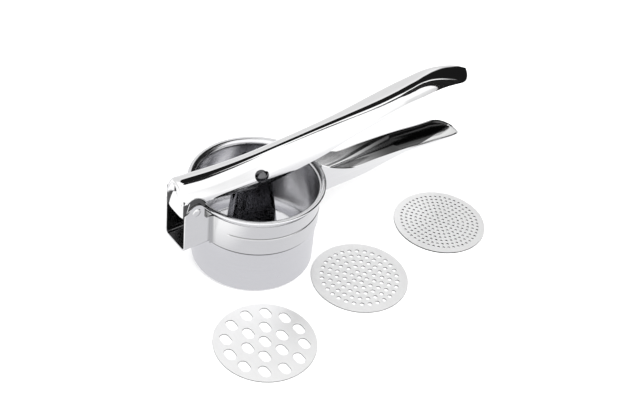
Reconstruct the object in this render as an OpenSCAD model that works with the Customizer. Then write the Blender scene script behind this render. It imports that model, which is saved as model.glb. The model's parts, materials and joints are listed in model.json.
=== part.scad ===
// Potato ricer: a lipped steel cup in a strap, a long lower handle fixed to the strap,
// an upper handle hinged on the strap's cheeks, a press plate hung from the upper handle,
// and three loose sieve discs that drop into the seat at the cup's bottom.
// The origin is on the cup's axis, on the surface that the cup stands on.
// +X runs along the handles, away from the hinge, and +Z is up. Sizes are millimetres.

/* [Cup] */
// Outside diameter of the cup's wall
cup_d = 87.2; // [78:0.2:105]
// Height of the cup over its lip
cup_h = 66.8; // [56:0.2:81]
// Sheet thickness of the cup
cup_t = 1; // [0.7:0.1:1.2]
// How far the lip reaches out past the cup's wall
lip_reach = 4.4; // [4.2:0.1:6]
// Radius under the bend between the wall and the lip
lip_bend_r = 3; // [2.4:0.1:3]
// Radius inside the corner between the wall and the bottom
corner_r = 1; // [0.8:0.1:2]

/* [Discs] */
// Diameter of a sieve disc
disc_d = 69.8; // [60:0.2:73]
// Thickness of a sieve disc
disc_t = 1; // [0.8:0.1:1.2]
// Width of the ledge that carries a disc
ledge_w = 2.8; // [2.3:0.1:3.6]
// Height of the step that keeps a disc in place
seat_step = 0.8; // [0.6:0.1:1.4]
// Distance between the rings of fine holes
fine_pitch = 3.67; // [3.4:0.01:4.1]
// Diameter of a fine hole
fine_hole_d = 1.8; // [1.4:0.1:2.1]
// Distance between the rings of medium holes
medium_pitch = 5.45; // [4.8:0.05:6]
// Diameter of a medium hole
medium_hole_d = 3.1; // [2.5:0.1:3.7]
// Distance between the rings of coarse holes
coarse_pitch = 13.1; // [11.5:0.1:13.6]
// Width of a coarse oval hole
coarse_hole_w = 6.8; // [5.6:0.1:8]
// Length of a coarse oval hole
coarse_hole_l = 10; // [8.4:0.1:11.2]
// Clear floor between the cup and each disc laid out beside it
layout_gap = 2.7; // [2:0.1:6]

/* [Strap and hinge] */
// Thickness of the strap round the cup
band_t = 1.2; // [1:0.1:1.6]
// Height of the strap
band_h = 24; // [20:0.5:28]
// Gap from the strap's top edge up to the start of the lip's bend
band_drop = 2; // [1:0.1:4]
// Width of the hinge bracket over its two cheeks
bracket_w = 24.6; // [22:0.2:29]
// Thickness of the bracket's cheeks and floor
cheek_t = 1.2; // [1:0.1:1.5]
// Distance from the lip's edge out to the hinge pin
pivot_out = 8.1; // [7.5:0.1:9.8]
// Height of the hinge pin over the cup's lip
pivot_up = 1.7; // [0.8:0.1:3.5]
// Distance from the hinge pin back to the bracket's open edge
bracket_back = 8.7; // [8:0.1:10]
// Diameter of the hinge pin
hinge_pin_d = 4.5; // [4:0.1:5]

/* [Upper handle] */
// Distance from the hinge pin to the handle's tip
upper_reach = 242.8; // [202:0.2:292]
// Sheet thickness of both handles
sheet_t = 1.2; // [1:0.1:1.4]
// Width of the grip of each handle
grip_w = 23.6; // [22:0.2:28]
// Height of the handle's flat top over the hinge pin
top_up = 21.6; // [20.2:0.2:25]
// Fullness of the handle's arched section at the hinge, 2 being a half ellipse
arch_full = 1.5; // [1.4:0.05:1.9]
// Radius of the folded corners at the handle's hinge end
end_r = 3.6; // [2:0.1:4.5]

/* [Lower handle] */
// Distance from the cup's axis to the lower handle's tip
lower_reach = 188.5; // [158:0.5:227]
// Width of the lower handle at the strap
lower_w = 22.4; // [20:0.2:26]
// Depth of the lower handle's grip
lower_depth = 7.5; // [6.5:0.1:9]

/* [Plunger] */
// Distance along X from the hinge pin to the plunger's rivet
rivet_out = 52; // [49:0.1:55]
// Height of the plunger's rivet over the hinge pin
rivet_up = 9.6; // [8.4:0.1:10.6]
// Diameter of the plunger's rivet
rivet_d = 5; // [4:0.1:6]
// Room between the press plate's edge and the cup's wall
plate_gap = 4.1; // [3.8:0.1:5.5]
// Thickness of the press plate
plate_t = 1.5; // [1.2:0.1:1.8]
// Height of the press plate's underside above the floor, as laid out
plate_z = 9.5; // [8.5:0.1:12]
// Thickness of the plunger bracket's sheet
press_t = 1.2; // [1:0.1:1.4]
// Half the plunger bracket's width across the handle
press_y = 6.9; // [6.2:0.1:7]

/* [Hidden] */
$fn = 96;
hole_fn = 24;
eps = 0.01;
over = 1;           // how far a cutting shape runs past what it cuts

// clearances
weld_gap = 0.03;    // between sheets that are welded face to face
pin_fit = 0.03;     // a pin in a sheet that doesn't turn on it
run_fit = 0.06;     // a pin in a sheet that turns on it
side_gap = 0.2;     // beside a sheet that turns
disc_fit = 0.4;     // a disc in its seat

// cup
cup_r = cup_d / 2;
bore_r = cup_r - cup_t;
lip_r = cup_r + lip_reach;
lip_z = cup_h - cup_t - lip_bend_r;
seat_r = disc_d / 2 + disc_fit;
outlet_r = seat_r - ledge_w;
lip_curl_r = 0.9 * cup_t;

// strap and hinge bracket
band_in = cup_r + weld_gap;
band_r = band_in + band_t;
band_top = lip_z - band_drop;
band_z = band_top - band_h;
cheek_y = bracket_w / 2;
pivot_x = -(lip_r + pivot_out);
pivot_z = cup_h + pivot_up;
back_x = pivot_x - bracket_back;
hug_x = -sqrt(band_in ^ 2 - cheek_y ^ 2);
ear_r = 6;
ear_turn = 127;     // where the cheek's sloped back edge meets its round ear
ear_drop = 0.7;     // how far under the pin that sloped edge starts
floor_bend_r = 2.5;
fillet_r = 3;
groove_r = 0.9;
groove_depth = 0.45;
groove_start = 149;
groove_z = band_z + 0.55 * band_h;
hinge_head_d = 6.4;
hinge_dome = 0.9;
spacer_t = 1.2;

// upper handle
end_x = back_x - 1;
tip_x = pivot_x + upper_reach;
upper_tip = 20;     // length of its rounded tip
flat_end = pivot_x + 0.387 * upper_reach;
grip_full = 2.15;
grip_x = pivot_x + 0.8 * upper_reach;
tab_y = cheek_y - cheek_t - side_gap;
arch_r = 10;        // the round step that clears the cheek's ear
arch_x = pivot_x - 1.5;
arch_z = pivot_z + 1.8;
arch_rise = 7;
tab_r = 6.4;
flap_z = pivot_z - 3.4;
flap_h = 14;

// lower handle
lower_tip = 19;     // length of its rounded tip
low_r = 4.5;        // radius of its bottom edges by the strap
low_grip_rx = 10.8; // and at the grip, across and up
low_grip_rz = 7.3;

// plunger
rivet_x = pivot_x + rivet_out;
rivet_z = pivot_z + rivet_up;
washer_gap = 0.15;
washer_r = rivet_d / 2 + 1.3;
wall_in = arch_in(rivet_x, rivet_z + washer_r);
washer_t = wall_in - press_y - 2 * washer_gap;
plunger_head_d = 9.4;
plunger_dome = 2.6;
plate_r = bore_r - plate_gap;
plate_x = -0.9;
plate_rim = 3;      // width of the step round the plate's edge
rim_up = 0.5;
rim_r = 0.7;
ear_w = 5.6;        // half the width of the bracket's ears
neck_drop = 5;      // from the rivet down to the bracket's straight neck
side_y = 3;         // half the width of its narrow side faces
foot_x = plate_x - 1.5;
foot_face = 16.5;   // half widths of its foot, at the faces and at the sides
foot_side = 22.5;
neck_face = 7;      // and of its neck
neck_side = 13;
foot_flange = 3;
foot_y = press_y + 1.4;
notch_depth = 24;

// The value at x of a smooth curve through the points p, each [x, value]
function span_at(p, x, i = 0) = i >= len(p) - 2 || x < p[i + 1][0] ? i : span_at(p, x, i + 1);
function slope(p, i) = i <= 0 ? (p[1][1] - p[0][1]) / (p[1][0] - p[0][0])
    : i >= len(p) - 1 ? (p[i][1] - p[i - 1][1]) / (p[i][0] - p[i - 1][0])
    : (p[i + 1][1] - p[i - 1][1]) / (p[i + 1][0] - p[i - 1][0]);
function curve(p, x) = let (i = span_at(p, x), w = p[i + 1][0] - p[i][0], s = (x - p[i][0]) / w)
    (2 * s ^ 3 - 3 * s ^ 2 + 1) * p[i][1] + (s ^ 3 - 2 * s ^ 2 + s) * w * slope(p, i)
    + (3 * s ^ 2 - 2 * s ^ 3) * p[i + 1][1] + (s ^ 3 - s ^ 2) * w * slope(p, i + 1);

// Shares of the handle's reach from the hinge pin, with heights over the pin
function upper_top(x) = pivot_z + top_up * curve([[-0.1, 1.08], [-0.041, 1.06], [0.066, 0.99],
    [0.19, 1], [0.313, 1.102], [0.416, 1.2], [0.519, 1.31], [0.643, 1.486], [0.766, 1.708],
    [0.81, 1.785], [0.849, 1.81], [0.89, 1.775], [0.939, 1.66], [0.972, 1.565], [1, 1.44]],
    (x - pivot_x) / upper_reach);
function upper_edge(x) = pivot_z + top_up * curve([[-0.1, 0.366], [0.035, 0.324],
    [0.11, 0.231], [0.199, 0.115], [0.247, 0.104], [0.315, 0.209], [0.393, 0.345],
    [0.447, 0.471], [0.523, 0.701], [0.729, 1.183], [0.789, 1.319], [0.855, 1.402],
    [0.909, 1.381], [0.961, 1.292], [1, 1.203]], (x - pivot_x) / upper_reach);

// Shares of the way from the strap to the tip, with heights on the strap
rim_drop = 12.8;
rise = cup_h - rim_drop;
low_mid = 0.585;
function lower_edge(x) = curve([[0, rise + rim_drop], [0.214, rise + 0.2], [0.387, rise - 0.8],
    [low_mid, rise - 2], [0.733, rise - 4], [0.895, rise - 6], [0.946, rise - 7.5],
    [1, rise - 10.6]], (x - band_r) / (lower_reach - band_r));
function lower_floor(x) = let (s = (x - band_r) / (lower_reach - band_r))
    s < low_mid ? curve([[0, band_z + 2], [0.102, band_z + 2.9], [0.305, band_z + 4],
        [0.427, band_z + 5.8], [low_mid, rise - 2 - lower_depth]], s)
    : curve([[low_mid, rise - 2 - lower_depth], [0.733, rise - 3.7 - lower_depth],
        [0.895, rise - 5.3 - lower_depth], [1, rise - 6.6 - lower_depth]], s);

// Half the width inside the upper handle's arch at x and at the height z, before its grip
function arch_in(x, z) = let (s = (z - upper_edge(x)) / (upper_top(x) - sheet_t - upper_edge(x)))
    (cheek_y - sheet_t) * sqrt(1 - s ^ arch_full);

function blend(x, a, b) = let (s = min(1, max(0, (x - a) / (b - a)))) s * s * (3 - 2 * s);

// Half the width of a spoon-ended handle whose round end starts at a and closes at b
round_pow = 2.4;
function half_w(x, a, b, w0, w1, g0, g1) = (w0 + (w1 - w0) * blend(x, g0, g1))
    * (x <= a ? 1 : (1 - ((x - a) / (b - a)) ^ round_pow) ^ (1 / round_pow));

// One section of the lower handle: a channel of half width hw with its floor at floor_z, its
// two edges at edge, and bottom edges rounded by rx across and by rz up
corner_steps = 6;
tip_half = 0.6;
lip_room = 0.4;
function channel(x, hw, floor_z, edge, rx, rz) = let (qx = min(rx, hw),
        qz = min(rz, 0.98 * (edge - floor_z)), quarter = [for (i = [0 : corner_steps])
            let (a = 90 * i / corner_steps) [hw - qx * (1 - cos(a)), floor_z + qz * (1 - sin(a))]])
    concat([[x, -hw, edge]], [for (q = quarter) [x, -q[0], q[1]]],
        [for (i = [corner_steps : -1 : 0]) [x, quarter[i][0], quarter[i][1]]], [[x, hw, edge]]);

// One section of the upper handle: an arch of half width hw from edge to edge, with its
// crown at top; each side is drawn in by the power full of its height, and foot is how far
// the arch's sides run on downwards
arch_steps = 9;
function arch(x, hw, edge, top, full, foot) = let (side = [for (i = [0 : arch_steps])
        let (s = 1 - (1 - i / arch_steps) ^ 2)
        [hw * sqrt(1 - s ^ full), edge + (top - edge) * s]])
    concat(foot > 0 ? [[x, -hw, edge - foot]] : [], [for (q = side) [x, -q[0], q[1]]],
        [for (i = [arch_steps - 1 : -1 : 0]) [x, side[i][0], side[i][1]]],
        foot > 0 ? [[x, hw, edge - foot]] : []);

// Solid skin through a list of sections; up is true when the closed side is above
module loft(rings, up) {
    n = len(rings[0]);
    m = len(rings);
    sides = [for (k = [0 : m - 2], j = [0 : n - 1]) let (a = k * n + j, b = k * n + (j + 1) % n)
        each [[a, b, b + n], [a, b + n, a + n]]];
    ends = [[for (j = [n - 1 : -1 : 0]) j], [for (j = [0 : n - 1]) (m - 1) * n + j]];
    faces = concat(sides, ends);
    polyhedron([for (r = rings) each r],
        up ? faces : [for (f = faces) [for (j = [len(f) - 1 : -1 : 0]) f[j]]]);
}

// Distances along a handle: close together over a round start of radius r, then even steps,
// then close together round the end from xa to xb
function stations(x0, r, xa, xb, n) = concat(
    r > 0 ? [for (a = [0, 25, 45, 65]) x0 + r * (1 - cos(a))] : [],
    [for (i = [0 : n]) x0 + r + (xa - x0 - r) * i / n],
    [for (a = [15, 30, 42, 54, 64, 73, 81]) xa + (xb - xa) * sin(a)]);

// How far a side is drawn in at x, over a round start of radius r at x0
function drawn_in(x, x0, r) = x >= x0 + r ? 0 : r - sqrt(max(0, r ^ 2 - (x0 + r - x) ^ 2));

// An outline in X and Z, given thickness t towards +Y from y
module plate_xz(y, t) { translate([0, y + t, 0]) rotate([90, 0, 0]) linear_extrude(t) children(); }

// A cylinder along Y from y0 to y1
module rod_y(x, z, r, y0, y1) {
    translate([x, y1, z]) rotate([90, 0, 0]) cylinder(h = y1 - y0, r = r);
}

module mirror_y() {
    children();
    mirror([0, 1, 0]) children();
}

// Quarter of a ring between radii r and r + t, in the quadrant given by the signs sx and sy
module quarter_ring(r, t, sx, sy) {
    intersection() {
        difference() {
            circle(r = r + t);
            circle(r = r);
        }
        translate([sx < 0 ? -(r + t) : 0, sy < 0 ? -(r + t) : 0]) square(r + t);
    }
}

module hopper_cup() {
    color("gainsboro") rotate_extrude() {
        translate([bore_r, seat_step + cup_t + corner_r - eps])
            square([cup_t, lip_z - seat_step - cup_t - corner_r + 2 * eps]);
        translate([bore_r - corner_r, seat_step + cup_t + corner_r]) quarter_ring(corner_r, cup_t, 1, -1);
        translate([seat_r, seat_step]) square([bore_r - corner_r - seat_r + eps, cup_t]);
        translate([seat_r, 0]) square([cup_t, seat_step + cup_t]);
        translate([outlet_r, 0]) square([ledge_w + cup_t, cup_t]);
        translate([cup_r + lip_bend_r, lip_z]) quarter_ring(lip_bend_r, cup_t, -1, 1);
        translate([cup_r + lip_bend_r - eps, cup_h - cup_t])
            square([lip_reach - lip_bend_r - lip_curl_r + eps, cup_t]);
        translate([lip_r - lip_curl_r, cup_h - lip_curl_r]) circle(r = lip_curl_r, $fn = 48);
    }
}

// Outline of a hinge cheek, with its round ear
module cheek_outline() {
    front_x = pivot_x + ear_r;
    difference() {
        polygon([[back_x, band_z], [back_x, pivot_z - ear_drop],
            [pivot_x + ear_r * cos(ear_turn), pivot_z + ear_r * sin(ear_turn)],
            [front_x, pivot_z], [front_x, band_top + fillet_r], [front_x + fillet_r, band_top],
            [hug_x, band_top], [hug_x, band_z]]);
        translate([front_x + fillet_r, band_top + fillet_r]) circle(r = fillet_r);
    }
    translate([pivot_x, pivot_z]) circle(r = ear_r);
}

// Cross section of the bracket: a channel with two bent corners
module bracket_channel() {
    r = floor_bend_r + cheek_t;
    h = pivot_z + ear_r - band_z;
    difference() {
        union() {
            translate([-cheek_y, r]) square([2 * cheek_y, h - r]);
            translate([-cheek_y + r, 0]) square([2 * (cheek_y - r), r + eps]);
            for (s = [-1, 1]) translate([s * (cheek_y - r), r]) circle(r = r);
        }
        translate([-cheek_y + cheek_t, r]) square([2 * (cheek_y - cheek_t), h]);
        translate([-cheek_y + r, cheek_t]) square([2 * (cheek_y - r), r]);
        for (s = [-1, 1]) translate([s * (cheek_y - r), r]) circle(r = floor_bend_r);
    }
}

module cup_strap() {
    fillet_y = cheek_y + fillet_r;
    fillet_x = sqrt((band_r + fillet_r) ^ 2 - fillet_y ^ 2);
    touch = band_r / (band_r + fillet_r);
    color("silver") difference() {
        union() {
            intersection() {
                translate([back_x, 0, band_z]) rotate([90, 0, 90])
                    linear_extrude(-back_x) bracket_channel();
                plate_xz(-cheek_y, 2 * cheek_y) cheek_outline();
            }
            translate([0, 0, band_z]) cylinder(h = band_h, r = band_r);
            mirror_y() translate([0, 0, band_z]) linear_extrude(band_h) difference() {
                polygon([[-fillet_x, -cheek_y], [-fillet_x * touch, -fillet_y * touch],
                    [-fillet_x * touch + fillet_r, -cheek_y]]);
                translate([-fillet_x, -fillet_y]) circle(r = fillet_r);
            }
        }
        translate([0, 0, band_z - eps]) cylinder(h = cup_h, r = band_in);
        rotate([0, 0, -groove_start]) rotate_extrude(angle = 2 * groove_start)
            translate([band_r + groove_r - groove_depth, groove_z])
                circle(r = groove_r, $fn = 32);
        rod_y(pivot_x, pivot_z, hinge_pin_d / 2 + pin_fit, -cheek_y - over, cheek_y + over);
    }
}

module handle_skin_lower(inset) {
    xa = lower_reach - lower_tip;
    x0 = cup_r * 0.8;
    mid = band_r + 0.6 * (lower_reach - band_r);
    rings = [for (x = stations(x0, 0, xa, lower_reach - inset, 24))
        let (hw = half_w(x, xa, lower_reach + over / 2 - inset, lower_w / 2, grip_w / 2, band_r, mid),
            g = blend(x, band_r + 30, mid))
        channel(x, max(hw - inset, tip_half), lower_floor(x) + inset, lower_edge(x) + 2 * inset,
            low_r + (low_grip_rx - low_r) * g - inset, low_r + (low_grip_rz - low_r) * g - inset)];
    loft(rings, false);
}

module lower_handle() {
    color("silver") difference() {
        handle_skin_lower(0);
        handle_skin_lower(sheet_t);
        cylinder(h = lip_z, r = band_r + weld_gap);
        translate([0, 0, lip_z - over]) cylinder(h = cup_h, r = lip_r + lip_room);
    }
}

// A rivet along Y through sheets w wide in all, with a domed head on each side
module rivet(x, z, d, w, head_d, dome) {
    sphere_r = (head_d ^ 2 / 4 + dome ^ 2) / (2 * dome);
    rod_y(x, z, d / 2, -w / 2 - eps, w / 2 + eps);
    mirror_y() translate([x, -w / 2, z]) rotate([90, 0, 0]) intersection() {
        translate([0, 0, dome - sphere_r]) sphere(r = sphere_r);
        cylinder(h = dome + over, r = head_d / 2 + over);
    }
}

// A tube along Y with the bore that a pin passes through
module tube_y(x, z, r_in, r_out, y0, y1) {
    difference() {
        rod_y(x, z, r_out, y0, y1);
        rod_y(x, z, r_in, y0 - over, y1 + over);
    }
}

module hinge_rivet() {
    color("gainsboro") rivet(pivot_x, pivot_z, hinge_pin_d, bracket_w + 2 * weld_gap,
        hinge_head_d, hinge_dome);
}

module hinge_spacer() {
    half = tab_y - sheet_t - side_gap;
    color("silver")
        tube_y(pivot_x, pivot_z, hinge_pin_d / 2 + pin_fit, hinge_pin_d / 2 + spacer_t, -half, half);
}

module handle_skin_upper(inset) {
    xa = tip_x - upper_tip;
    x0 = end_x + inset;
    r = end_r - inset;
    rings = [for (x = stations(x0, r, xa, tip_x - inset, 32))
        let (hw = half_w(x, xa, tip_x + over / 2 - inset, cheek_y, grip_w / 2, flat_end, grip_x),
            g = blend(x, flat_end + 25, grip_x - 30), in = drawn_in(x, x0, r),
            edge = upper_edge(x))
        arch(x, max(hw - inset - in, tip_half), edge, max(upper_top(x) - in - inset, edge + tip_half),
            arch_full + (grip_full - arch_full) * g, 3 * inset)];
    loft(rings, true);
}

// Outline of the sheet that steps in beside the hinge cheek
module tab_outline() {
    intersection() {
        union() {
            translate([arch_x, arch_z]) circle(r = arch_r + sheet_t);
            translate([pivot_x, pivot_z]) circle(r = tab_r);
            polygon([[end_x, arch_z + tab_r], [end_x, flap_z],
                [pivot_x - tab_r * sin(32), pivot_z - tab_r * cos(32)], [pivot_x, pivot_z]]);
        }
        polygon([[end_x, pivot_z - tab_r], [pivot_x + tab_r, pivot_z - tab_r],
            [pivot_x + tab_r, pivot_z + tab_r / 2], [arch_x + arch_r + sheet_t, arch_z + arch_rise],
            [arch_x + arch_r + sheet_t, pivot_z + flap_h], [end_x, pivot_z + flap_h]]);
    }
}

module upper_handle() {
    color("whitesmoke") difference() {
        union() {
            difference() {
                handle_skin_upper(0);
                handle_skin_upper(sheet_t);
                mirror_y() rod_y(arch_x, arch_z, arch_r, tab_y, cheek_y + over);
            }
            mirror_y() plate_xz(tab_y - sheet_t, sheet_t) tab_outline();
            intersection() {
                handle_skin_upper(eps);
                mirror_y() plate_xz(tab_y - sheet_t, arch_r) difference() {
                    translate([arch_x, arch_z]) circle(r = arch_r + sheet_t);
                    translate([arch_x, arch_z]) circle(r = arch_r);
                }
            }
            translate([end_x, -tab_y, flap_z]) cube([sheet_t, 2 * tab_y, flap_h]);
        }
        rod_y(pivot_x, pivot_z, hinge_pin_d / 2 + run_fit, -cheek_y - over, cheek_y + over);
        rod_y(rivet_x, rivet_z, rivet_d / 2 + pin_fit, -cheek_y - over, cheek_y + over);
    }
}

module plunger_rivet() {
    over_heads = 2 * (arch_in(rivet_x, rivet_z - plunger_head_d / 2) + sheet_t + weld_gap);
    color("dimgray") rivet(rivet_x, rivet_z, rivet_d, over_heads, plunger_head_d, plunger_dome);
}

module plunger_washers() {
    y0 = press_y + washer_gap;
    color("silver") mirror_y()
        tube_y(rivet_x, rivet_z, rivet_d / 2 + pin_fit, washer_r, y0, y0 + washer_t);
}

module plunger_spacer() {
    half = press_y - press_t - side_gap;
    color("silver")
        tube_y(rivet_x, rivet_z, rivet_d / 2 + pin_fit, rivet_d / 2 + spacer_t, -half, half);
}

// Eight-sided slab: x0 is its middle, wf and ws its half widths at the faces and at the sides
module eight_sided(x0, z, wf, ws, yf, ys, h) {
    translate([x0, 0, z]) linear_extrude(h)
        polygon([[-wf, -yf], [wf, -yf], [ws, -ys], [ws, ys], [wf, yf], [-wf, yf], [-ws, ys],
            [-ws, -ys]]);
}

module bracket_body(inset) {
    hull() {
        eight_sided(rivet_x, rivet_z - neck_drop, neck_face - inset, neck_side - inset,
            press_y - inset, side_y, eps);
        eight_sided(foot_x, plate_z + plate_t, foot_face - inset, foot_side - inset,
            foot_y - inset, side_y, eps);
    }
}

module plunger_bracket() {
    base = plate_z + plate_t;
    in_y = press_y - press_t;
    color([0.22, 0.22, 0.23]) difference() {
        union() {
            difference() {
                bracket_body(0);
                translate([0, 0, -eps]) bracket_body(press_t);
                translate([rivet_x - 2 * foot_side, 0, 0]) rotate([90, 0, 90])
                    linear_extrude(4 * foot_side)
                    polygon([[-in_y + eps, rivet_z], [0, rivet_z - notch_depth], [in_y - eps, rivet_z]]);
            }
            mirror_y() plate_xz(in_y, press_t) {
                translate([rivet_x, rivet_z]) circle(r = ear_w);
                translate([rivet_x - ear_w, rivet_z - neck_drop - eps])
                    square([2 * ear_w, neck_drop + eps]);
            }
            difference() {
                eight_sided(foot_x, base, foot_face + foot_flange - over, foot_side + foot_flange - over,
                    foot_y + foot_flange, side_y + over, press_t);
                eight_sided(foot_x, base - over, foot_face - over, foot_side - over,
                    foot_y - press_t, side_y, press_t + 2 * over);
            }
        }
        rod_y(rivet_x, rivet_z, rivet_d / 2 + run_fit, -press_y - over, press_y + over);
    }
}

module press_plate() {
    color("lightgray") translate([plate_x, 0, plate_z]) rotate_extrude($fn = 128) {
        square([plate_r - plate_rim, plate_t]);
        translate([plate_r - plate_rim - eps, rim_up]) square([plate_rim - rim_r + 2 * eps, plate_t]);
        translate([plate_r - rim_r, rim_up]) intersection() {
            translate([0, rim_r]) circle(r = rim_r, $fn = 32);
            square(2 * rim_r);
        }
        translate([plate_r - rim_r, rim_up + plate_t - rim_r]) intersection() {
            circle(r = rim_r, $fn = 32);
            square(rim_r);
        }
        translate([plate_r - rim_r, rim_up + rim_r - eps])
            square([rim_r, plate_t - 2 * rim_r + 2 * eps]);
    }
}

// A flat round disc with rings of 6, 12, 18 and so on holes, made by the child at each place
module sieve(x, y, turn, pitch, rings) {
    translate([x, y, 0]) difference() {
        cylinder(h = disc_t, r = disc_d / 2);
        rotate([0, 0, turn]) translate([0, 0, -over]) {
            for (k = [0 : rings], i = [0 : max(1, 6 * k) - 1])
                rotate([0, 0, k == 0 ? 0 : 60 * i / k]) translate([k * pitch, 0, 0])
                    rotate([0, 0, k == 0 ? -turn : -60 * i / k - turn]) children();
        }
    }
}

module round_hole(d) { cylinder(h = disc_t + 2 * over, r = d / 2, $fn = hole_fn); }

module oval_hole(w, l) {
    linear_extrude(disc_t + 2 * over) {
        translate([0, (l - w) / 2]) circle(r = w / 2, $fn = 32);
        translate([0, -(l - w) / 2]) circle(r = w / 2, $fn = 32);
        square([w, l - w], center = true);
    }
}

// Places of the discs on the floor, round the cup's front
lay_r = cup_r + layout_gap + disc_d / 2;
lay_angle = -51.7;
row_step = [1.304 * disc_d, 0.244 * disc_d];
coarse_turn = -5;
medium_turn = 8;
fine_turn = 3;
medium_x = lay_r * cos(lay_angle);
medium_y = lay_r * sin(lay_angle);

module coarse_disc() {
    color("lightgray") sieve(medium_x - 1.02 * row_step[0], medium_y - 0.975 * row_step[1],
        coarse_turn, coarse_pitch, 2) oval_hole(coarse_hole_w, coarse_hole_l);
}

module medium_disc() {
    color("lightgray") sieve(medium_x, medium_y, medium_turn, medium_pitch, 5) round_hole(medium_hole_d);
}

module fine_disc() {
    color("lightgray") sieve(medium_x + row_step[0], medium_y + row_step[1], fine_turn, fine_pitch, 8)
        round_hole(fine_hole_d);
}

hopper_cup();
cup_strap();
lower_handle();
hinge_rivet();
hinge_spacer();
upper_handle();
plunger_rivet();
plunger_washers();
plunger_spacer();
plunger_bracket();
press_plate();
coarse_disc();
medium_disc();
fine_disc();
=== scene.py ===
"""Potato ricer: polished sheet steel handles, cup, plunger and sieve discs, on a pale floor."""

import json
import math

import bmesh
import bpy
import numpy as np
from mathutils import Matrix, Vector


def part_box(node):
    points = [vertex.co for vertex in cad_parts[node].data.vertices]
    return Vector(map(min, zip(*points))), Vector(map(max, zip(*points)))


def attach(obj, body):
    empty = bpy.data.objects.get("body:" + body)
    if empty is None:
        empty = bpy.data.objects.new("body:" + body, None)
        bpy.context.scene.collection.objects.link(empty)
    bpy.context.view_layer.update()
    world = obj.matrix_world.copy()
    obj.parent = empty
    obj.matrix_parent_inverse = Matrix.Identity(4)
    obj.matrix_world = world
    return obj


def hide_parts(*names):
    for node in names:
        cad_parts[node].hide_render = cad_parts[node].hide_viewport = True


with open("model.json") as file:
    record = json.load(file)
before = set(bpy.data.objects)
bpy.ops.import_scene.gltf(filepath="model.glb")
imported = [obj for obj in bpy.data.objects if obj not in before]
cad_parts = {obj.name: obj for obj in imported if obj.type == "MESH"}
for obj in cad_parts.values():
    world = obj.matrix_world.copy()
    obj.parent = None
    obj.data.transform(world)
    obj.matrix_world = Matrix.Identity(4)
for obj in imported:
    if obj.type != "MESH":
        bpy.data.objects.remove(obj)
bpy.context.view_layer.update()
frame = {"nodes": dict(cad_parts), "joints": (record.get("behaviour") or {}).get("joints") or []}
MM = 0.001

# ---------------------------------------------------------------- sizes read from the frame
hinge = next(j for j in frame["joints"] if j["name"] == "handle_hinge")
hinge_x, _, hinge_z = [v / MM for v in hinge["pos_m"]]


def span(node):
    """The lowest and highest corner of a node, in millimetres."""
    low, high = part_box(node)
    return np.array(low) / MM, np.array(high) / MM


_, cup_high = span("hopper_cup")
strap_low, strap_high = span("cup_strap")
upper_low, upper_high = span("upper_handle")
_, lower_high = span("lower_handle")
plate_low, plate_high = span("press_plate")

# cup: its lip, wall and stepped bottom
lip_r = cup_high[0]
cup_h = cup_high[2]
cup_t = 1.0
cup_r = lip_r - 4.4
lip_bend_r = 3.0
lip_z = cup_h - cup_t - lip_bend_r
seat_r = 35.3
outlet_r = 32.5
seat_step = 0.8
corner_r = 1.0

# strap: its outer radius, its lower edge and half the width of its two cheeks
band_r = strap_high[0]
band_z = strap_low[2]
cheek_y = 12.3

# both handles: sheet thickness, grip width and how square their tips are in plan
sheet_t = 1.2
grip_w = 23.6
tip_power = 2.4

# upper handle: its ends, its crown over the hinge, and where it narrows to the grip
end_x = upper_low[0]
tip_x = upper_high[0]
upper_reach = tip_x - hinge_x
top_up = 21.6
upper_tip = 20
flat_end = hinge_x + 0.387 * upper_reach
grip_x = hinge_x + 0.8 * upper_reach

# lower handle: its tip, the depth of its grip and its width at the cup
lower_reach = lower_high[0]
lower_depth = 7.5
lower_w = 22.4
lower_tip = 19
rim_z = cup_h - 12.8

# inner tabs of the upper handle, and the arch cut in its walls over them
tab_y = cheek_y - sheet_t - 0.2
arch_r = 10.0
arch_x = hinge_x - 1.5
arch_z = hinge_z + 1.8


# ---------------------------------------------------------------- shape functions
def through(points, x):
    """Smooth curve through points [x, value]: cubic pieces whose slope at each point is the
    chord between its neighbours."""
    p = np.array(points, float)
    px, pv = p[:, 0], p[:, 1]
    m = np.empty(len(p))
    m[1:-1] = (pv[2:] - pv[:-2]) / (px[2:] - px[:-2])
    m[0] = (pv[1] - pv[0]) / (px[1] - px[0])
    m[-1] = (pv[-1] - pv[-2]) / (px[-1] - px[-2])
    x = np.asarray(x, float)
    i = np.clip(np.searchsorted(px, x, side="right") - 1, 0, len(p) - 2)
    w = px[i + 1] - px[i]
    s = (x - px[i]) / w
    return ((2 * s**3 - 3 * s**2 + 1) * pv[i] + (s**3 - 2 * s**2 + s) * w * m[i]
            + (3 * s**2 - 2 * s**3) * pv[i + 1] + (s**3 - s**2) * w * m[i + 1])


def blend(x, a, b):
    """0 before a, 1 after b, with a smooth step between: 3s^2 - 2s^3."""
    s = np.clip((np.asarray(x, float) - a) / (b - a), 0, 1)
    return s * s * (3 - 2 * s)


def upper_top(x):
    """Height of the upper handle's crown."""
    return hinge_z + top_up * through(
        [[-0.1, 1.08], [-0.041, 1.06], [0.066, 0.99], [0.19, 1], [0.313, 1.102], [0.416, 1.2],
         [0.519, 1.31], [0.643, 1.486], [0.766, 1.708], [0.81, 1.785], [0.849, 1.81],
         [0.89, 1.775], [0.939, 1.66], [0.972, 1.565], [1, 1.44]], (x - hinge_x) / upper_reach)


def upper_edge(x):
    """Height of the upper handle's lower edges."""
    return hinge_z + top_up * through(
        [[-0.1, 0.366], [0.035, 0.324], [0.11, 0.231], [0.199, 0.115], [0.247, 0.104],
         [0.315, 0.209], [0.393, 0.345], [0.447, 0.471], [0.523, 0.701], [0.729, 1.183],
         [0.789, 1.319], [0.855, 1.402], [0.909, 1.381], [0.961, 1.292], [1, 1.203]],
        (x - hinge_x) / upper_reach)


def low_share(x):
    """Share of the way from the strap to the lower handle's tip."""
    return (x - band_r) / (lower_reach - band_r)


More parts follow.
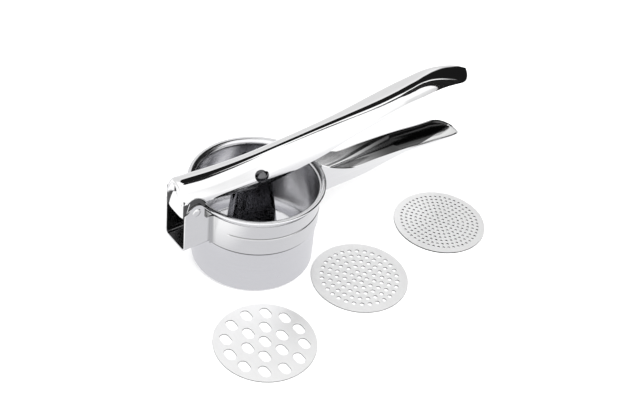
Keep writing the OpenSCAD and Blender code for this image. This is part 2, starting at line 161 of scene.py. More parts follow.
def lower_edge(x):
    """Height of the lower handle's two rims."""
    return through([[0, rim_z + 12.8], [0.214, rim_z + 0.2], [0.387, rim_z - 0.8],
                    [0.585, rim_z - 2], [0.733, rim_z - 4], [0.895, rim_z - 6],
                    [0.946, rim_z - 7.5], [1, rim_z - 10.6]], low_share(x))


def lower_floor(x):
    """Height of the lower handle's underside."""
    s = low_share(x)
    near = through([[0, band_z + 2], [0.102, band_z + 2.9], [0.305, band_z + 4],
                    [0.427, band_z + 5.8], [0.585, rim_z - 2 - lower_depth]], s)
    far = through([[0.585, rim_z - 2 - lower_depth], [0.733, rim_z - 3.7 - lower_depth],
                   [0.895, rim_z - 5.3 - lower_depth], [1, rim_z - 6.6 - lower_depth]], s)
    return np.where(s < 0.585, near, far)


# ---------------------------------------------------------------- mesh makers
def sheet_mesh(name, points, wrap_u=False, wrap_v=False, cap_u=False, painted_shade=None):
    """Mesh from a grid of points (rows u, columns v): quads between neighbours, joined round
    in u or v where the surface closes, with a face over the first and last row if cap_u. Painted
    shade values, 0 on open sheet and 1 deep in a crease, go into an attribute."""
    pts = np.asarray(points, float) * MM
    m, n = pts.shape[:2]
    rows = np.arange(m if wrap_u else m - 1)
    cols = np.arange(n if wrap_v else n - 1)
    r, c = np.meshgrid(rows, cols, indexing="ij")
    r2, c2 = (r + 1) % m, (c + 1) % n
    quads = np.stack([r * n + c, r2 * n + c, r2 * n + c2, r * n + c2], -1).reshape(-1, 4)
    verts = pts.reshape(-1, 3)
    faces = quads.tolist()
    if cap_u:
        for row, order in ((0, 1), (m - 1, -1)):
            ring = (row * n + np.arange(n))[::order]
            faces.append(ring.tolist())
    mesh = bpy.data.meshes.new(name)
    mesh.from_pydata(verts.tolist(), [], faces)
    # painted shade: per-point darkness for creases, read by every steel material
    if painted_shade is not None:
        layer = mesh.attributes.new("painted_shade", "FLOAT", "POINT")
        layer.data.foreach_set("value", np.asarray(painted_shade, np.float32).ravel())
    return mesh


def link(name, data):
    """A new object in the scene from a mesh, light or camera."""
    o = bpy.data.objects.new(name, data)
    bpy.context.scene.collection.objects.link(o)
    return o


def shade_smooth(mesh, degrees):
    """Smooth shading, with sharp edges where faces meet at more than the angle."""
    for p in mesh.polygons:
        p.use_smooth = True
    mesh.set_sharp_from_angle(angle=math.radians(degrees))


def place(mesh, name, body, node, material, smooth=35):
    """Object from a mesh: doubles merged, normals outwards, smooth to the given angle."""
    bm = bmesh.new()
    bm.from_mesh(mesh)
    bmesh.ops.remove_doubles(bm, verts=bm.verts, dist=2e-6)
    bmesh.ops.recalc_face_normals(bm, faces=bm.faces)
    bm.to_mesh(mesh)
    bm.free()
    shade_smooth(mesh, smooth)
    o = link(name, mesh)
    mesh.materials.append(material)
    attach(o, body)
    if node:
        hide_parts(node)
    return o


def thick(o, t, offset=-1.0, inside=None):
    """Gives a sheet its thickness inwards, then softens its cut edges; the inside may have a
    material of its own, here a darker steel as painted shade."""
    s = o.modifiers.new("wall", "SOLIDIFY")
    if inside:
        o.data.materials.append(inside)
        s.material_offset = 1
    s.thickness = t * MM
    s.offset = offset
    s.use_even_offset = False
    return soften(o, 0.22)


def soften(o, width, angle=40):
    """Rounds the edges where faces meet at more than the angle."""
    b = o.modifiers.new("edges", "BEVEL")
    b.width = width * MM
    b.segments = 2
    b.limit_method = "ANGLE"
    b.angle_limit = math.radians(angle)
    b.harden_normals = True
    return o


def turned(profile, n=256, centre=(0, 0), z0=0.0):
    """Surface of revolution about Z: a closed profile of (r, z) carried round in n steps."""
    p = np.asarray(profile, float)
    a = np.linspace(0, 2 * math.pi, n, endpoint=False)[:, None]
    x = centre[0] + p[None, :, 0] * np.cos(a)
    y = centre[1] + p[None, :, 0] * np.sin(a)
    z = np.broadcast_to(z0 + p[None, :, 1], x.shape)
    return np.stack([x, y, z], -1)


def arc(cx, cz, r, a0, a1, n=10):
    """Points on a circle of radius r between two angles in degrees."""
    a = np.radians(np.linspace(a0, a1, n))
    return np.stack([cx + r * np.cos(a), cz + r * np.sin(a)], -1)


# ---------------------------------------------------------------- shader groups
def new_group(name, inputs, outputs):
    """A shader group with inputs (kind, label, value) and outputs (kind, label)."""
    g = bpy.data.node_groups.new(name, "ShaderNodeTree")
    for kind, label, value in inputs:
        s = g.interface.new_socket(name=label, in_out="INPUT", socket_type=kind)
        if value is not None:
            s.default_value = value
    for kind, label in outputs:
        g.interface.new_socket(name=label, in_out="OUTPUT", socket_type=kind)
    return g, g.nodes.new("NodeGroupInput"), g.nodes.new("NodeGroupOutput")


FLOAT, VECTOR = "NodeSocketFloat", "NodeSocketVector"


def math_node(tree, op, a, b=None, clamp=False):
    """Result of one operation on a and b, each a socket or a number."""
    n = tree.nodes.new("ShaderNodeMath")
    n.operation = op
    n.use_clamp = clamp
    for i, v in enumerate((a, b)):
        if v is None:
            continue
        if hasattr(v, "links"):
            tree.links.new(v, n.inputs[i])
        else:
            n.inputs[i].default_value = v
    return n.outputs[0]


def noise(tree, vector, scale, detail=3.0, rough=0.55):
    """Noise over a vector, at a scale that is a socket or a number."""
    n = tree.nodes.new("ShaderNodeTexNoise")
    n.inputs["Detail"].default_value = detail
    n.inputs["Roughness"].default_value = rough
    if hasattr(scale, "links"):
        tree.links.new(scale, n.inputs["Scale"])
    else:
        n.inputs["Scale"].default_value = scale
    tree.links.new(vector, n.inputs["Vector"])
    return n.outputs["Fac"]


def map_range(tree, value, a, b, low=0.0, high=1.0, smooth=True):
    """The value carried from a..b to low..high and held there outside."""
    n = tree.nodes.new("ShaderNodeMapRange")
    n.interpolation_type = "SMOOTHSTEP" if smooth else "LINEAR"
    for label, v in (("From Min", a), ("From Max", b), ("To Min", low), ("To Max", high)):
        n.inputs[label].default_value = v
    tree.links.new(value, n.inputs["Value"])
    return n.outputs[0]


def grain_group():
    """Brushed grain: fine noise on a vector that is squeezed along the brushing direction."""
    g, i, o = new_group("Brushed grain", [(VECTOR, "Place", None), (VECTOR, "Squeeze", (1, 1, 1)),
                                          (FLOAT, "Fineness", 900.0)],
                        [(FLOAT, "Height"), (FLOAT, "Streak")])
    v = g.nodes.new("ShaderNodeVectorMath")
    v.operation = "MULTIPLY"
    g.links.new(i.outputs["Place"], v.inputs[0])
    g.links.new(i.outputs["Squeeze"], v.inputs[1])
    fine = noise(g, v.outputs[0], i.outputs["Fineness"], 2.0, 0.6)
    broad = noise(g, v.outputs[0], math_node(g, "MULTIPLY", i.outputs["Fineness"], 0.17), 3.0, 0.6)
    g.links.new(fine, o.inputs["Height"])
    g.links.new(math_node(g, "ADD", math_node(g, "MULTIPLY", fine, 0.5),
                          math_node(g, "MULTIPLY", broad, 0.5)), o.inputs["Streak"])
    return g


def handling_group():
    """Traces of handling: cloudy smudges and a few hair scratches."""
    g, i, o = new_group("Handling", [(VECTOR, "Place", None), (FLOAT, "Smudge", 60.0)],
                        [(FLOAT, "Cloud"), (FLOAT, "Scratch")])
    place_at = i.outputs["Place"]
    cloud = noise(g, place_at, i.outputs["Smudge"], 4.0, 0.6)
    stretch = g.nodes.new("ShaderNodeMapping")
    stretch.inputs["Scale"].default_value = (40, 900, 900)
    stretch.inputs["Rotation"].default_value = (0.3, 0.5, 0.7)
    g.links.new(place_at, stretch.inputs["Vector"])
    hair = noise(g, stretch.outputs[0], 1.0, 1.0, 0.5)
    g.links.new(cloud, o.inputs["Cloud"])
    g.links.new(map_range(g, hair, 0.69, 0.76, smooth=False), o.inputs["Scratch"])
    return g


GRAIN = grain_group()
HANDLING = handling_group()


def mix_colour(tree, factor, a, b):
    """Colour a where the factor is 0 and b where it is 1; each a socket or three values."""
    n = tree.nodes.new("ShaderNodeMix")
    n.data_type = "RGBA"
    for label, v in (("Factor", factor), ("A", a), ("B", b)):
        if hasattr(v, "links"):
            tree.links.new(v, n.inputs[label])
        else:
            n.inputs[label].default_value = (*v, 1) if isinstance(v, tuple) else v
    return n.outputs["Result"]


def grey(value):
    """Three equal colour values."""
    return (value, value, value)


def new_material(name):
    """A material with its node tree and its Principled BSDF."""
    m = bpy.data.materials.new(name)
    m.use_nodes = True
    return m, m.node_tree, m.node_tree.nodes["Principled BSDF"]


SCRATCH_ROUGH = 0.08
BUMP_DEPTH = 0.1 * MM
# painted shade: the near-black colour that creases and steps take on
PAINTED_SHADE_TONE = grey(0.01)


def steel(name, base, rough, squeeze, grain=0.02, fineness=900.0, rough_span=0.06, tone_span=0.04,
          smudge=60.0, metallic=1.0, marks=None):
    """A steel finish: grain drives bump, streaks tone and roughness, handling clouds it, and
    painted shade from a mesh attribute darkens folds and creases. marks(tree, position, colour)
    may add lines or zones of its own."""
    m, t, b = new_material(name)
    b.inputs["Metallic"].default_value = metallic
    co = t.nodes.new("ShaderNodeTexCoord").outputs["Object"]
    g = t.nodes.new("ShaderNodeGroup")
    g.node_tree = GRAIN
    g.inputs["Squeeze"].default_value = squeeze
    g.inputs["Fineness"].default_value = fineness
    t.links.new(co, g.inputs["Place"])
    h = t.nodes.new("ShaderNodeGroup")
    h.node_tree = HANDLING
    h.inputs["Smudge"].default_value = smudge
    t.links.new(co, h.inputs["Place"])
    dark = tuple(max(0.0, c - tone_span) for c in base)
    light = tuple(min(1.0, c + tone_span) for c in base)
    colour = mix_colour(t, g.outputs["Streak"], dark, light)
    if marks:
        colour = marks(t, co, colour)
    # painted shade: the mesh attribute darkens the colour towards near black in creases
    shade_amount = t.nodes.new("ShaderNodeAttribute")
    shade_amount.attribute_name = "painted_shade"
    colour = mix_colour(t, shade_amount.outputs["Fac"], colour, PAINTED_SHADE_TONE)
    t.links.new(colour, b.inputs["Base Color"])
    r = math_node(t, "ADD", math_node(t, "MULTIPLY", h.outputs["Cloud"], rough_span),
                  math_node(t, "MULTIPLY", h.outputs["Scratch"], SCRATCH_ROUGH))
    r = math_node(t, "ADD", r, math_node(t, "MULTIPLY", g.outputs["Streak"], rough_span))
    r = math_node(t, "ADD", r, rough - rough_span, clamp=True)
    t.links.new(r, b.inputs["Roughness"])
    bump = t.nodes.new("ShaderNodeBump")
    bump.inputs["Strength"].default_value = grain
    bump.inputs["Distance"].default_value = BUMP_DEPTH
    t.links.new(g.outputs["Height"], bump.inputs["Height"])
    t.links.new(bump.outputs[0], b.inputs["Normal"])
    return m


def part_of(tree, position, axis):
    """One of X, Y and Z of a position."""
    n = tree.nodes.new("ShaderNodeSeparateXYZ")
    tree.links.new(position, n.inputs[0])
    return n.outputs[axis]


def line_at(tree, value, at, half):
    """1 on a narrow line where the value equals at, 0 more than half away."""
    off = math_node(tree, "ABSOLUTE", math_node(tree, "SUBTRACT", value, at))
    return map_range(tree, off, 0.4 * half, half, 1.0, 0.0)


# heights of the painted shade lines on the strap and the cup, and the slanted end of the painted
# shade on the scoop's dull inside
GROOVE_Z = 0.0500
STRAP_FOOT_Z = 0.0356
UNDER_LIP_Z = 0.0642
SCOOP_SHADE_SLANT = -4.0
SCOOP_SHADE_END = 0.166


def band_shade(t, position, colour):
    """Painted shade: a dark line along the strap's pressed groove, the inside of the hinge bracket
    painted dark, and a shaded strip painted along the bend where its cheeks leave the band."""
    x, y = part_of(t, position, "X"), part_of(t, position, "Y")
    # painted shade: a dark line in the pressed groove
    line = line_at(t, part_of(t, position, "Z"), GROOVE_Z, 0.0009)
    line = math_node(t, "MULTIPLY", line, map_range(t, x, -0.0385, -0.0365))
    colour = mix_colour(t, math_node(t, "MULTIPLY", line, 0.6), colour, grey(0.1))
    # painted shade: the hinge bracket's inside faces darkened
    inner = map_range(t, math_node(t, "ABSOLUTE", y), 0.01105, 0.01125, 1.0, 0.0)
    inner = math_node(t, "MULTIPLY", inner, map_range(t, x, -0.047, -0.045, 1.0, 0.0))
    inner = math_node(t, "MULTIPLY", inner, map_range(t, x, -0.0648, -0.0646))
    colour = mix_colour(t, inner, colour, grey(0.2))
    # painted shade: a darker strip along the cheeks' bend
    bend = map_range(t, x, -0.0478, -0.0455)
    bend = math_node(t, "MULTIPLY", bend, map_range(t, x, -0.0435, -0.0418, 1.0, 0.0))
    return mix_colour(t, math_node(t, "MULTIPLY", bend, 0.55), colour, grey(0.3))


def scoop_shade(t, position, colour):
    """Inside of the lower handle: duller, with painted shade darkening it along its length, and
    bright again at the lip where the painted shade ends.
    """
    x, y = part_of(t, position, "X"), part_of(t, position, "Y")
    # painted shade: darker further out along the handle
    colour = mix_colour(t, map_range(t, x, 0.065, 0.125), colour, grey(0.07))
    along = math_node(t, "ADD", x, math_node(t, "MULTIPLY", y, SCOOP_SHADE_SLANT))
    # painted light: the lip end goes pale again past a slanted line
    return mix_colour(t, map_range(t, along, SCOOP_SHADE_END - 0.002, SCOOP_SHADE_END + 0.002), colour,
                      grey(0.78))


def cup_shadow_lines(t, position, colour):
    """Painted shadows: a dark line under the strap's lower edge, and one under the lip."""
    z = part_of(t, position, "Z")
    flat = t.nodes.new("ShaderNodeVectorMath")
    flat.operation = "MULTIPLY"
    flat.inputs[1].default_value = (1, 1, 0)
    t.links.new(position, flat.inputs[0])
    size = t.nodes.new("ShaderNodeVectorMath")
    size.operation = "LENGTH"
    t.links.new(flat.outputs[0], size.inputs[0])
    outside = map_range(t, size.outputs["Value"], 0.0433, 0.0435)
    # painted shadow under the strap's lower edge
    joint = math_node(t, "MULTIPLY", line_at(t, z, STRAP_FOOT_Z, 0.0012), outside)
    colour = mix_colour(t, math_node(t, "MULTIPLY", joint, 0.8), colour, grey(0.06))
    # painted shadow under the lip
    under = math_node(t, "MULTIPLY", line_at(t, z, UNDER_LIP_Z, 0.0012), outside)
    return mix_colour(t, math_node(t, "MULTIPLY", under, 0.75), colour, grey(0.06))


def hole_wall_shade(shade):
    """Painted shade on the punched hole walls, darker than the flat faces of a disc."""
    def marks(t, position, colour):
        n = t.nodes.new("ShaderNodeTexCoord").outputs["Normal"]
        flat = math_node(t, "ABSOLUTE", part_of(t, n, "Z"))
        wall = map_range(t, flat, 0.35, 0.9, 1.0, 0.0)
        return mix_colour(t, wall, colour, grey(shade))
    return marks


scoop_steel_shaded = steel("scoop steel, painted shade", (0.8, 0.8, 0.805), 0.16, (0.06, 1, 1), grain=0.03,
                     marks=scoop_shade)
# painted shade: the upper handle's inside is the handle steel made darker
underside_steel_shaded = steel("underside steel, painted shade", (0.5, 0.5, 0.505), 0.12, (0.06, 1, 1), grain=0.03)
cup_steel_shadowed = steel("cup steel, painted shadow lines", (0.76, 0.76, 0.775), 0.2, (1, 1, 14), grain=0.10, fineness=260.0,
                   marks=cup_shadow_lines)
# painted shade: near-black steel for the tabs that sit in shadow inside the cheeks
tab_steel_shaded = steel("tab steel, painted shade", grey(0.1), 0.2, (0.06, 1, 1), grain=0.015)
handle_finish = steel("polished steel", (0.80, 0.80, 0.805), 0.05, (0.06, 1, 1), grain=0.015)
strap_steel_shaded = steel("strap steel, painted shade", (0.76, 0.76, 0.765), 0.16, (0.1, 0.1, 1.2), grain=0.03,
                     marks=band_shade)
mirror_finish = steel("mirror steel", (0.36, 0.36, 0.38), 0.06, (1, 1, 0.06), grain=0.004,
                      tone_span=0.015)
plate_finish = steel("plate steel", (0.84, 0.84, 0.85), 0.22, (1, 1, 1), grain=0.05)
rivet_finish = steel("rivet steel", (0.14, 0.14, 0.145), 0.12, (1, 1, 1), grain=0.03)
# painted shade: the discs' hole walls darkened, most on the fine disc
disc_steel_shaded = steel("disc steel", grey(0.82), 0.38, (1, 0.08, 1), grain=0.1,
                    metallic=0.6, marks=hole_wall_shade(0.25))
fine_disc_steel_shaded = steel("fine disc steel", grey(0.82), 0.38, (1, 0.08, 1), grain=0.1,
                    metallic=0.6, marks=hole_wall_shade(0.05))


# ---------------------------------------------------------------- upper handle
def arch_half(x):
    """Half width of the upper handle: from the cheeks' width to the grip's, then a round end
    w (1 - u^p)^(1/p) for u from 0 to 1 along the tip."""
    w = cheek_y + (grip_w / 2 - cheek_y) * blend(x, flat_end, grip_x)
    a, b = tip_x - upper_tip, tip_x + 0.05
    u = np.clip((x - a) / (b - a), 0, 1)
    return w * (1 - u**tip_power) ** (1 / tip_power)


def make_upper_handle():
    """Arched sheet: at each station x the half section is
    y = w sqrt((1 - ((s + c) / (1 + c))^f) / (1 - (c / (1 + c))^f)) and z = edge + (top - edge) s
    for s from 0 at the edge to 1 at the crown, with the edge lifted over the cheek's ear.
    At the hinge end the rings close into two folded lobes."""
    end_r = 3.6
    a = np.linspace(0, 90, 15)
    xs = np.concatenate([end_x + end_r * (1 - np.cos(np.radians(a))),
                         np.linspace(end_x + end_r, tip_x - upper_tip, 250)[1:],
                         tip_x - upper_tip
                         + upper_tip * np.sin(np.radians(np.linspace(0, 90, 26)[1:]))])
    inn = np.where(xs < end_x + end_r,
                   end_r - np.sqrt(np.maximum(0, end_r**2 - (end_x + end_r - xs) ** 2)), 0)
    w = np.maximum(arch_half(xs) - inn, 0.0)
    top = upper_top(xs) - inn * 0.8
    edge = upper_edge(xs)
    over = arch_z + np.sqrt(np.maximum(arch_r**2 - (xs - arch_x) ** 2, 0))
    lift = np.where(np.abs(xs - arch_x) < arch_r, np.maximum(edge, over), edge)
    s0 = np.clip((lift - edge) / (top - edge), 0, 0.9)
    full = 1.5 + 0.65 * blend(xs, flat_end + 25, grip_x - 30)
    u = np.linspace(0, 1, 41)
    s = s0[:, None] + (1 - s0[:, None]) * (1 - (1 - u[None, :]) ** 2)
    cut = (0.06 + 0.4 * blend(xs, tip_x - 70, tip_x - 45))[:, None]
    power = full[:, None]
    whole = 1 - (cut / (1 + cut)) ** power
    y = w[:, None] * np.sqrt(np.maximum(0, 1 - ((s + cut) / (1 + cut)) ** power) / whole)
    z = edge[:, None] + (top - edge)[:, None] * s
    x = np.broadcast_to(xs[:, None], y.shape)
    right = np.stack([x, -y, z], -1)
    left = np.stack([x, y, z], -1)[:, ::-1][:, 1:]
    body = np.concatenate([right, left], 1)
    # folded lobes: the end ring drawn in to a seam that forks downwards in a Y
    fork, node_up = 0.5, 0.42
    seam_half, seam_spread, seam_drop = 0.3, 8.2, 0.4
    ring = body[0]
    side = np.where(ring[:, 1] < 0, -1.0, 1.0)
    h = np.clip((ring[:, 2] - edge[0]) / (top[0] - edge[0]), 0, 1)
    node_z = edge[0] + node_up * (top[0] - edge[0])
    seam_y = np.where(h < fork, seam_spread * (1 - h / fork) + seam_half, seam_half) * side
    seam_z = np.where(h < fork,
                      edge[0] - seam_drop + (node_z - edge[0] + seam_drop) * h / fork,
                      node_z + (top[0] - sheet_t - node_z) * (h - fork) / fork)
    v = np.linspace(0, 1, 15)[1:, None]
    lob_y = ring[None, :, 1] * (1 - v) + seam_y[None] * v
    lob_z = ring[None, :, 2] * (1 - v) + seam_z[None] * v
    lob_x = end_x - 0.7 * np.sin(np.pi * v**0.8) + 1.2 * v**2 + 0 * lob_y
    lobes = np.stack([lob_x, lob_y, lob_z], -1)[::-1]
    grid = np.concatenate([lobes, body], 0)
    # painted shade: the lobes go dark towards their seam
    shade_amount = np.zeros(grid.shape[:2])
    shade_amount[:len(lobes)] = blend(v, 0.74, 0.92)[::-1] * np.ones_like(ring[None, :, 1])
    mesh = sheet_mesh("upper_handle_sheet", grid, painted_shade=shade_amount)
    o = place(mesh, "upper_handle_sheet", "handle", "upper_handle",
              handle_finish, smooth=50)
    return thick(o, sheet_t, inside=underside_steel_shaded)


make_upper_handle()


def make_tab(name, outline, y0, y1):
    """Flat sheet: an outline in X and Z carried from y0 to y1, with both faces filled, in
    near-black steel as painted shade beside the cheek.
    """
    p = np.asarray(outline, float)
    ring = np.stack([p[:, 0], np.zeros(len(p)), p[:, 1]], -1)
    low, high = ring.copy(), ring.copy()
    low[:, 1], high[:, 1] = y0, y1
    mesh = sheet_mesh(name, np.stack([low, high]), wrap_v=True, cap_u=True)
    o = place(mesh, name, "handle", None, tab_steel_shaded)
    return soften(o, 0.25)


def tab_points():
    """Outline of the sheet that steps in beside the cheek: round the ear and back to the end."""
    lower = arc(hinge_x, hinge_z, 6.4, 0, -122, 16)
    return np.concatenate([
        [[end_x + 0.6, hinge_z - 3.4], [end_x + 0.6, arch_z + 9.5]],
        arc(arch_x, arch_z, arch_r + 0.6, 118, 25, 16), lower])


for side, label in ((-1, "front"), (1, "back")):
    inner, outer = side * (tab_y - sheet_t), side * tab_y
    make_tab("handle_tab_" + label, tab_points(), min(inner, outer), max(inner, outer))


def make_step(side, label):
    """Curved step along the arch: from the wall's cut edge in to the tab, on a half cosine, with
    painted shade darkening it towards the tab.
    """
    a = np.radians(np.linspace(22, 128, 40))[:, None]
    v = np.linspace(0, 1, 10)[None, :]
    x_arch = arch_x + arch_r * np.cos(a)
    z_arch = arch_z + arch_r * np.sin(a)
    edge, top = upper_edge(x_arch), upper_top(x_arch)
    s = np.clip((z_arch - edge) / (top - edge), 0, 1)
    wall = arch_half(x_arch) * np.sqrt(np.maximum(0, 1 - s**1.5)) - 0.1
    y = wall + (np.minimum(tab_y - 0.4, wall) - wall) * (0.5 - 0.5 * np.cos(np.pi * v))
    r = arch_r + 0.1 - 1.5 * v
    grid = np.stack([arch_x + r * np.cos(a), side * y, arch_z + r * np.sin(a)], -1)
    # painted shade: darker towards the tab, through the shade attribute
    mesh = sheet_mesh("handle_step_" + label, grid, painted_shade=0.95 * blend(v, 0.1, 0.5) + 0 * r * a)
    o = place(mesh, "handle_step_" + label, "handle", None, handle_finish, 60)
    return thick(o, 0.6, 0.0)


for side, label in ((-1, "front"), (1, "back")):
    make_step(side, label)


def make_flap():
    """Closing flap below the lobes: a slightly crowned plate across the hinge end."""
    y = np.linspace(-(tab_y - 0.1), tab_y - 0.1, 25)[None, :]
    v = np.linspace(0, 1, 17)[:, None]
    low = hinge_z - 4.6 + 1.5 * (np.abs(y) / tab_y) ** 4
    high = upper_edge(end_x) + 7.5 - 7.0 * np.abs(y) / tab_y
    z = low + (high - low) * v
    x = end_x + 1.3 + 1.6 * (np.abs(y) / tab_y) ** 6 + 2.6 * v**1.5
    mesh = sheet_mesh("handle_flap", np.stack([x + 0 * z, y + 0 * z, z], -1))
    o = place(mesh, "handle_flap", "handle", None, handle_finish)
    return thick(o, sheet_t, 0.0)


make_flap()


# ---------------------------------------------------------------- lower handle
def make_lower_handle():
    """Channel sheet: each section runs down one wall, round a bottom edge, across the floor
    and up the other wall; it starts on the strap's and the lip's round and ends in a spoon."""
    s = np.linspace(0, 1, 240)
    s = np.concatenate([s[:-1] * 0.9, 0.9 + 0.1 * np.sin(np.linspace(0, np.pi / 2, 34))])
    q = np.radians(np.linspace(0, 90, 14))
    mid = band_r + 0.6 * (lower_reach - band_r)

    def section(x):
        """Half section at stations x: arrays (len(x), points) of y and z, edge to middle."""
        w = lower_w / 2 + (grip_w - lower_w) / 2 * blend(x, band_r, mid)
        a, b = lower_reach - lower_tip, lower_reach - 0.02
        u = np.clip((x - a) / (b - a), 0, 1)
        w = w * (1 - u**tip_power) ** (1 / tip_power)
        g = blend(x, band_r + 30, mid)
        edge = lower_edge(x)
        floor = lower_floor(x)
        floor = edge - (edge - floor) * (1 - u**3.2) ** (1 / 3.2)
        rx = np.minimum(4.5 + 6.3 * g, w)
        rz = np.minimum(4.5 + 2.8 * g, 0.96 * (edge - floor))
        wall_z = edge[:, None] + (floor + rz - edge)[:, None] * np.linspace(0, 1, 12)[None, :-1]
        wall_y = np.broadcast_to(w[:, None], wall_z.shape)
        bend_y = w[:, None] - rx[:, None] * (1 - np.cos(q))[None]
        bend_z = floor[:, None] + rz[:, None] * (1 - np.sin(q))[None]
        flat_y = (w - rx)[:, None] * np.linspace(1, 0, 8)[None, 1:]
        flat_z = np.broadcast_to(floor[:, None], flat_y.shape)
        return (np.concatenate([wall_y, bend_y, flat_y], 1),
                np.concatenate([wall_z, bend_z, flat_z], 1))

    x0 = band_r - 1.5
    x = x0 + (lower_reach - x0) * s
    y, z = section(x)
    start_band = np.sqrt(np.maximum((band_r + 0.03) ** 2 - y[0] ** 2, 0))
    start_lip = np.sqrt(np.maximum((lip_r + 0.4) ** 2 - y[0] ** 2, 0))
    start = np.where(z[0] > lip_z - 1, start_lip, start_band)
    fade = np.clip(1 - s / 0.12, 0, 1)[:, None] ** 2
    xx = x[:, None] + (start[None] - x0) * fade
    half = np.stack([xx, -y, z], -1)
    other = np.stack([xx, y, z], -1)[:, ::-1][:, 1:]
    mesh = sheet_mesh("lower_handle_sheet", np.concatenate([half, other], 1))
    o = place(mesh, "lower_handle_sheet", "frame", "lower_handle",
              handle_finish, smooth=50)
    return thick(o, sheet_t, inside=scoop_steel_shaded)


make_lower_handle()


# ---------------------------------------------------------------- cup, plate and rivets
def make_cup():
    """Cup: one closed profile turned about Z, from the outlet up the outside, over the lip's
    bend and curl, and down the inside to the disc's ledge."""
    bore = cup_r - cup_t
    curl = 0.9 * cup_t
    z_step = seat_step + cup_t
    outside = np.concatenate([
        [[outlet_r, 0.15], [outlet_r + 0.15, 0], [seat_r + cup_t - 0.3, 0]],
        arc(seat_r + cup_t - 0.3, 0.3, 0.3, -90, 0, 4), [[seat_r + cup_t, seat_step]],
        [[bore - corner_r, seat_step]],
        arc(bore - corner_r, z_step + corner_r, corner_r + cup_t, -90, 0, 10),
        np.stack([np.full(30, cup_r), np.linspace(z_step + corner_r + 1, lip_z - 1, 30)], -1),
        arc(cup_r + lip_bend_r, lip_z, lip_bend_r, 180, 90, 14),
        arc(lip_r - curl, cup_h - curl, curl, -90, 90, 14)])
    inside = np.concatenate([
        arc(cup_r + lip_bend_r, lip_z, lip_bend_r + cup_t, 90, 180, 16),
        np.stack([np.full(30, bore), np.linspace(lip_z - 1, z_step + corner_r + 1, 30)], -1),
        arc(bore - corner_r, z_step + corner_r, corner_r, 0, -90, 8),
        [[seat_r, z_step]], [[seat_r, cup_t]], [[outlet_r, cup_t]]])
    grid = turned(np.concatenate([outside, inside]), 320)
    mesh = sheet_mesh("cup_body", grid, wrap_u=True, wrap_v=True)
    return place(mesh, "cup_body", "frame", "hopper_cup", cup_steel_shadowed, smooth=50)


make_cup()


def make_plate():
    """Press plate: a stepped profile turned about the plate's own axis."""
    cx = (plate_low[0] + plate_high[0]) / 2
    r = (plate_high[0] - plate_low[0]) / 2
    z = plate_low[2]
    profile = np.concatenate([
        [[0.001, 0], [r - 4.0, 0]], [[r - 3.2, 0.1]], [[r - 2.8, 0.45]],
        arc(r - 0.7, 1.2, 0.7, -90, 90, 12),
        [[r - 2.6, 2.0]], [[r - 3.1, 1.85]], [[r - 3.7, 1.5]], [[0.001, 1.5]]])
    grid = turned(profile, 256, (cx, 0), z)
    mesh = sheet_mesh("press_disc", grid, wrap_u=True, wrap_v=True)
    return place(mesh, "press_disc", "plunger", "press_plate", plate_finish, 40)


make_plate()


def copy_of(node, name, body, material, bevel):
    """A merged copy of a node's mesh, its flat faces joined, with softened edges."""
    mesh = frame["nodes"][node].data.copy()
    mesh.name = name
    mesh.materials.clear()
    bm = bmesh.new()
    bm.from_mesh(mesh)
    bmesh.ops.remove_doubles(bm, verts=bm.verts, dist=1e-6)
    bmesh.ops.dissolve_limit(bm, angle_limit=math.radians(0.2), verts=bm.verts,
                             edges=bm.edges, delimit={"NORMAL"})
    bm.to_mesh(mesh)
    bm.free()
    for layer in list(mesh.uv_layers):
        mesh.uv_layers.remove(layer)
    shade_smooth(mesh, 30)
    o = link(name, mesh)
    mesh.materials.append(material)
    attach(o, body)
    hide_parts(node)
    if bevel:
        soften(o, bevel, 35)
    return o


copy_of("cup_strap", "strap_and_bracket", "frame", strap_steel_shaded, 0.22)
copy_of("plunger_bracket", "plunger_body", "plunger", mirror_finish, 0.5)
discs = [copy_of("coarse_disc", "disc_coarse", "coarse_sieve", disc_steel_shaded, 0.22),
         copy_of("medium_disc", "disc_medium", "medium_sieve", disc_steel_shaded, 0.22),
         copy_of("fine_disc", "disc_fine", "fine_sieve", fine_disc_steel_shaded, 0.12)]
for disc in discs:
    disc.visible_glossy = False
copy_of("hinge_rivet", "rivet_at_hinge", "frame", strap_steel_shaded, 0)
copy_of("plunger_rivet", "rivet_of_plunger", "handle", rivet_finish, 0)
for node in ("hinge_spacer", "plunger_washers", "plunger_spacer"):
    part = frame["nodes"][node]
    part.data.materials.clear()
    part.data.materials.append(rivet_finish)


# ---------------------------------------------------------------- floor, light and camera
def make_floor():
    """Round table top: a flat disc with a rounded rim. Seen in the steel it is a painted
    reflection:
    a pale emitted glow that ignores shadows, brighter to both sides of the cup."""
    ring = np.array([[0.001, 0], [0.3, 0], [0.6, 0], [0.62, -0.004], [0.624, -0.02]]) / MM
    grid = turned(ring, 128, (60, 0), -0.2)
    mesh = sheet_mesh("floor", grid, wrap_u=True)
    o = link("floor", mesh)
    m, t, b = new_material("pale floor")
    b.inputs["Roughness"].default_value = 0.9
    b.inputs["Specular IOR Level"].default_value = 0.0
    co = t.nodes.new("ShaderNodeTexCoord").outputs["Object"]
    top = mix_colour(t, noise(t, co, 9.0), grey(0.94), grey(0.96))
    x = part_of(t, co, "X")
    aside = math_node(t, "MAXIMUM", map_range(t, x, -0.115, -0.07, 1.0, 0.0),
                      map_range(t, x, -0.02, 0.3))
    painted_reflection = mix_colour(t, aside, (0.79, 0.79, 0.815), grey(1.3))
    # painted reflection: glossy rays see an emitted glow instead of the lit floor
    in_reflection = t.nodes.new("ShaderNodeLightPath").outputs["Is Glossy Ray"]
    t.links.new(mix_colour(t, in_reflection, top, grey(0.0)), b.inputs["Base Color"])
    t.links.new(mix_colour(t, in_reflection, grey(0.0), painted_reflection), b.inputs["Emission Color"])
    b.inputs["Emission Strength"].default_value = 1.0
    mesh.materials.append(m)


make_floor()


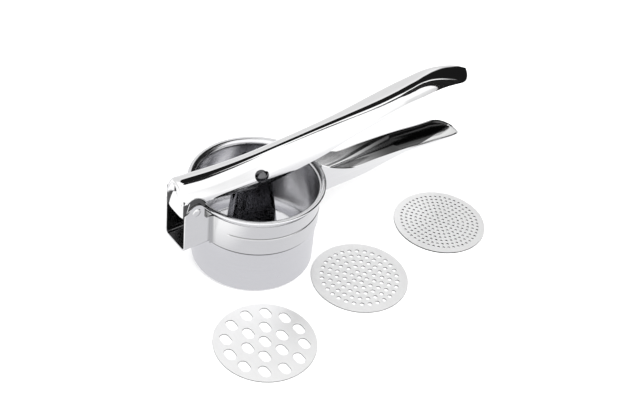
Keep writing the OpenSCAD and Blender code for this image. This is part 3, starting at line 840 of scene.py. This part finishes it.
def make_world():
    """White studio: bright on the near side and high up, greyer low down in front, pale grey
    behind, and a dark side whose near edge leans outward with height. Seen directly it is
    plain white, and it lights matt surfaces more strongly than it shines in steel."""
    edge_lean, diffuse_strength = 0.33, 1.4
    world = bpy.data.worlds.new("studio")
    bpy.context.scene.world = world
    world.use_nodes = True
    t = world.node_tree
    co = t.nodes.new("ShaderNodeTexCoord").outputs["Generated"]
    z = part_of(t, co, "Z")
    az = math_node(t, "ARCTAN2", part_of(t, co, "Y"), part_of(t, co, "X"))
    lean = math_node(t, "SUBTRACT", az, math_node(t, "MULTIPLY", z, edge_lean))
    near = map_range(t, lean, math.radians(-44), math.radians(-38))
    far = map_range(t, az, math.radians(37), math.radians(41), 1.0, 0.0)
    dark = math_node(t, "MULTIPLY", near, far)
    behind = map_range(t, az, math.radians(20), math.radians(60))
    behind = math_node(t, "MULTIPLY", behind, map_range(t, az, 2.0, 3.0, 1.0, 0.0))
    high = map_range(t, z, 0.05, 0.4)
    side = map_range(t, az, math.radians(-65), math.radians(-55), 1.0, 0.0)
    bright = math_node(t, "MAXIMUM", high, side)
    light = mix_colour(t, bright, grey(0.8), grey(1.35))
    light = mix_colour(t, behind, light, grey(0.9))
    light = mix_colour(t, dark, light, grey(0.012))
    path = t.nodes.new("ShaderNodeLightPath")
    back = t.nodes["Background"]
    t.links.new(mix_colour(t, path.outputs["Is Camera Ray"], light, grey(1.0)),
                back.inputs["Color"])
    t.links.new(map_range(t, path.outputs["Is Diffuse Ray"], 0, 1, 1.0, diffuse_strength, False),
                back.inputs["Strength"])


make_world()


def area(name, place_at, aim, size, power):
    """Square light of the given width, turned towards a point."""
    light = bpy.data.lights.new(name, "AREA")
    light.shape = "SQUARE"
    light.size = size
    light.energy = power
    o = link(name, light)
    o.location = place_at
    o.rotation_euler = (Vector(aim) - Vector(place_at)).to_track_quat("-Z", "Y").to_euler()
    return o


area("key", (0.25, -0.42, 0.95), (0.2, -0.16, 0), 0.6, 5).visible_glossy = False


def make_flag():
    """Black card to the right, seen only by the steel: a slightly bowed sheet."""
    foot_x, foot_y, run_x, run_y, bow, height = 430, -410, 110, 150, 12, 1100
    u, v = np.meshgrid(np.linspace(0, 1, 12), np.linspace(0, 1, 12), indexing="ij")
    x = foot_x + run_x * u + bow * np.sin(np.pi * u)
    grid = np.stack([x, foot_y + run_y * u, height * v], -1)
    mesh = sheet_mesh("flag", grid)
    o = link("flag", mesh)
    m, _, b = new_material("black card")
    b.inputs["Base Color"].default_value = (0.01, 0.01, 0.01, 1)
    b.inputs["Roughness"].default_value = 1.0
    b.inputs["Specular IOR Level"].default_value = 0.0
    mesh.materials.append(m)
    o.visible_camera = o.visible_diffuse = o.visible_shadow = False


make_flag()

# the camera: where it looks, where it stands, its roll and its lens
AIM = Vector((0.0768, 0.0202, 0.0))
EYE = Vector((-0.3580, -0.4799, 0.5514))
ROLL = 0.1286
LENS = 62.87
forward = (AIM - EYE).normalized()
right = forward.cross(Vector((0, 0, 1))).normalized()
up = right.cross(forward)
cam_x = right * math.cos(ROLL) + up * math.sin(ROLL)
cam_y = -right * math.sin(ROLL) + up * math.cos(ROLL)
lens = bpy.data.cameras.new("camera")
lens.lens = LENS
lens.sensor_width = 36
lens.clip_start = 0.01
camera = link("camera", lens)
camera.matrix_world = Matrix.Translation(EYE) @ Matrix(
    (cam_x, cam_y, -forward)).transposed().to_4x4()
bpy.context.scene.camera = camera
bpy.context.scene.view_settings.view_transform = "Standard"
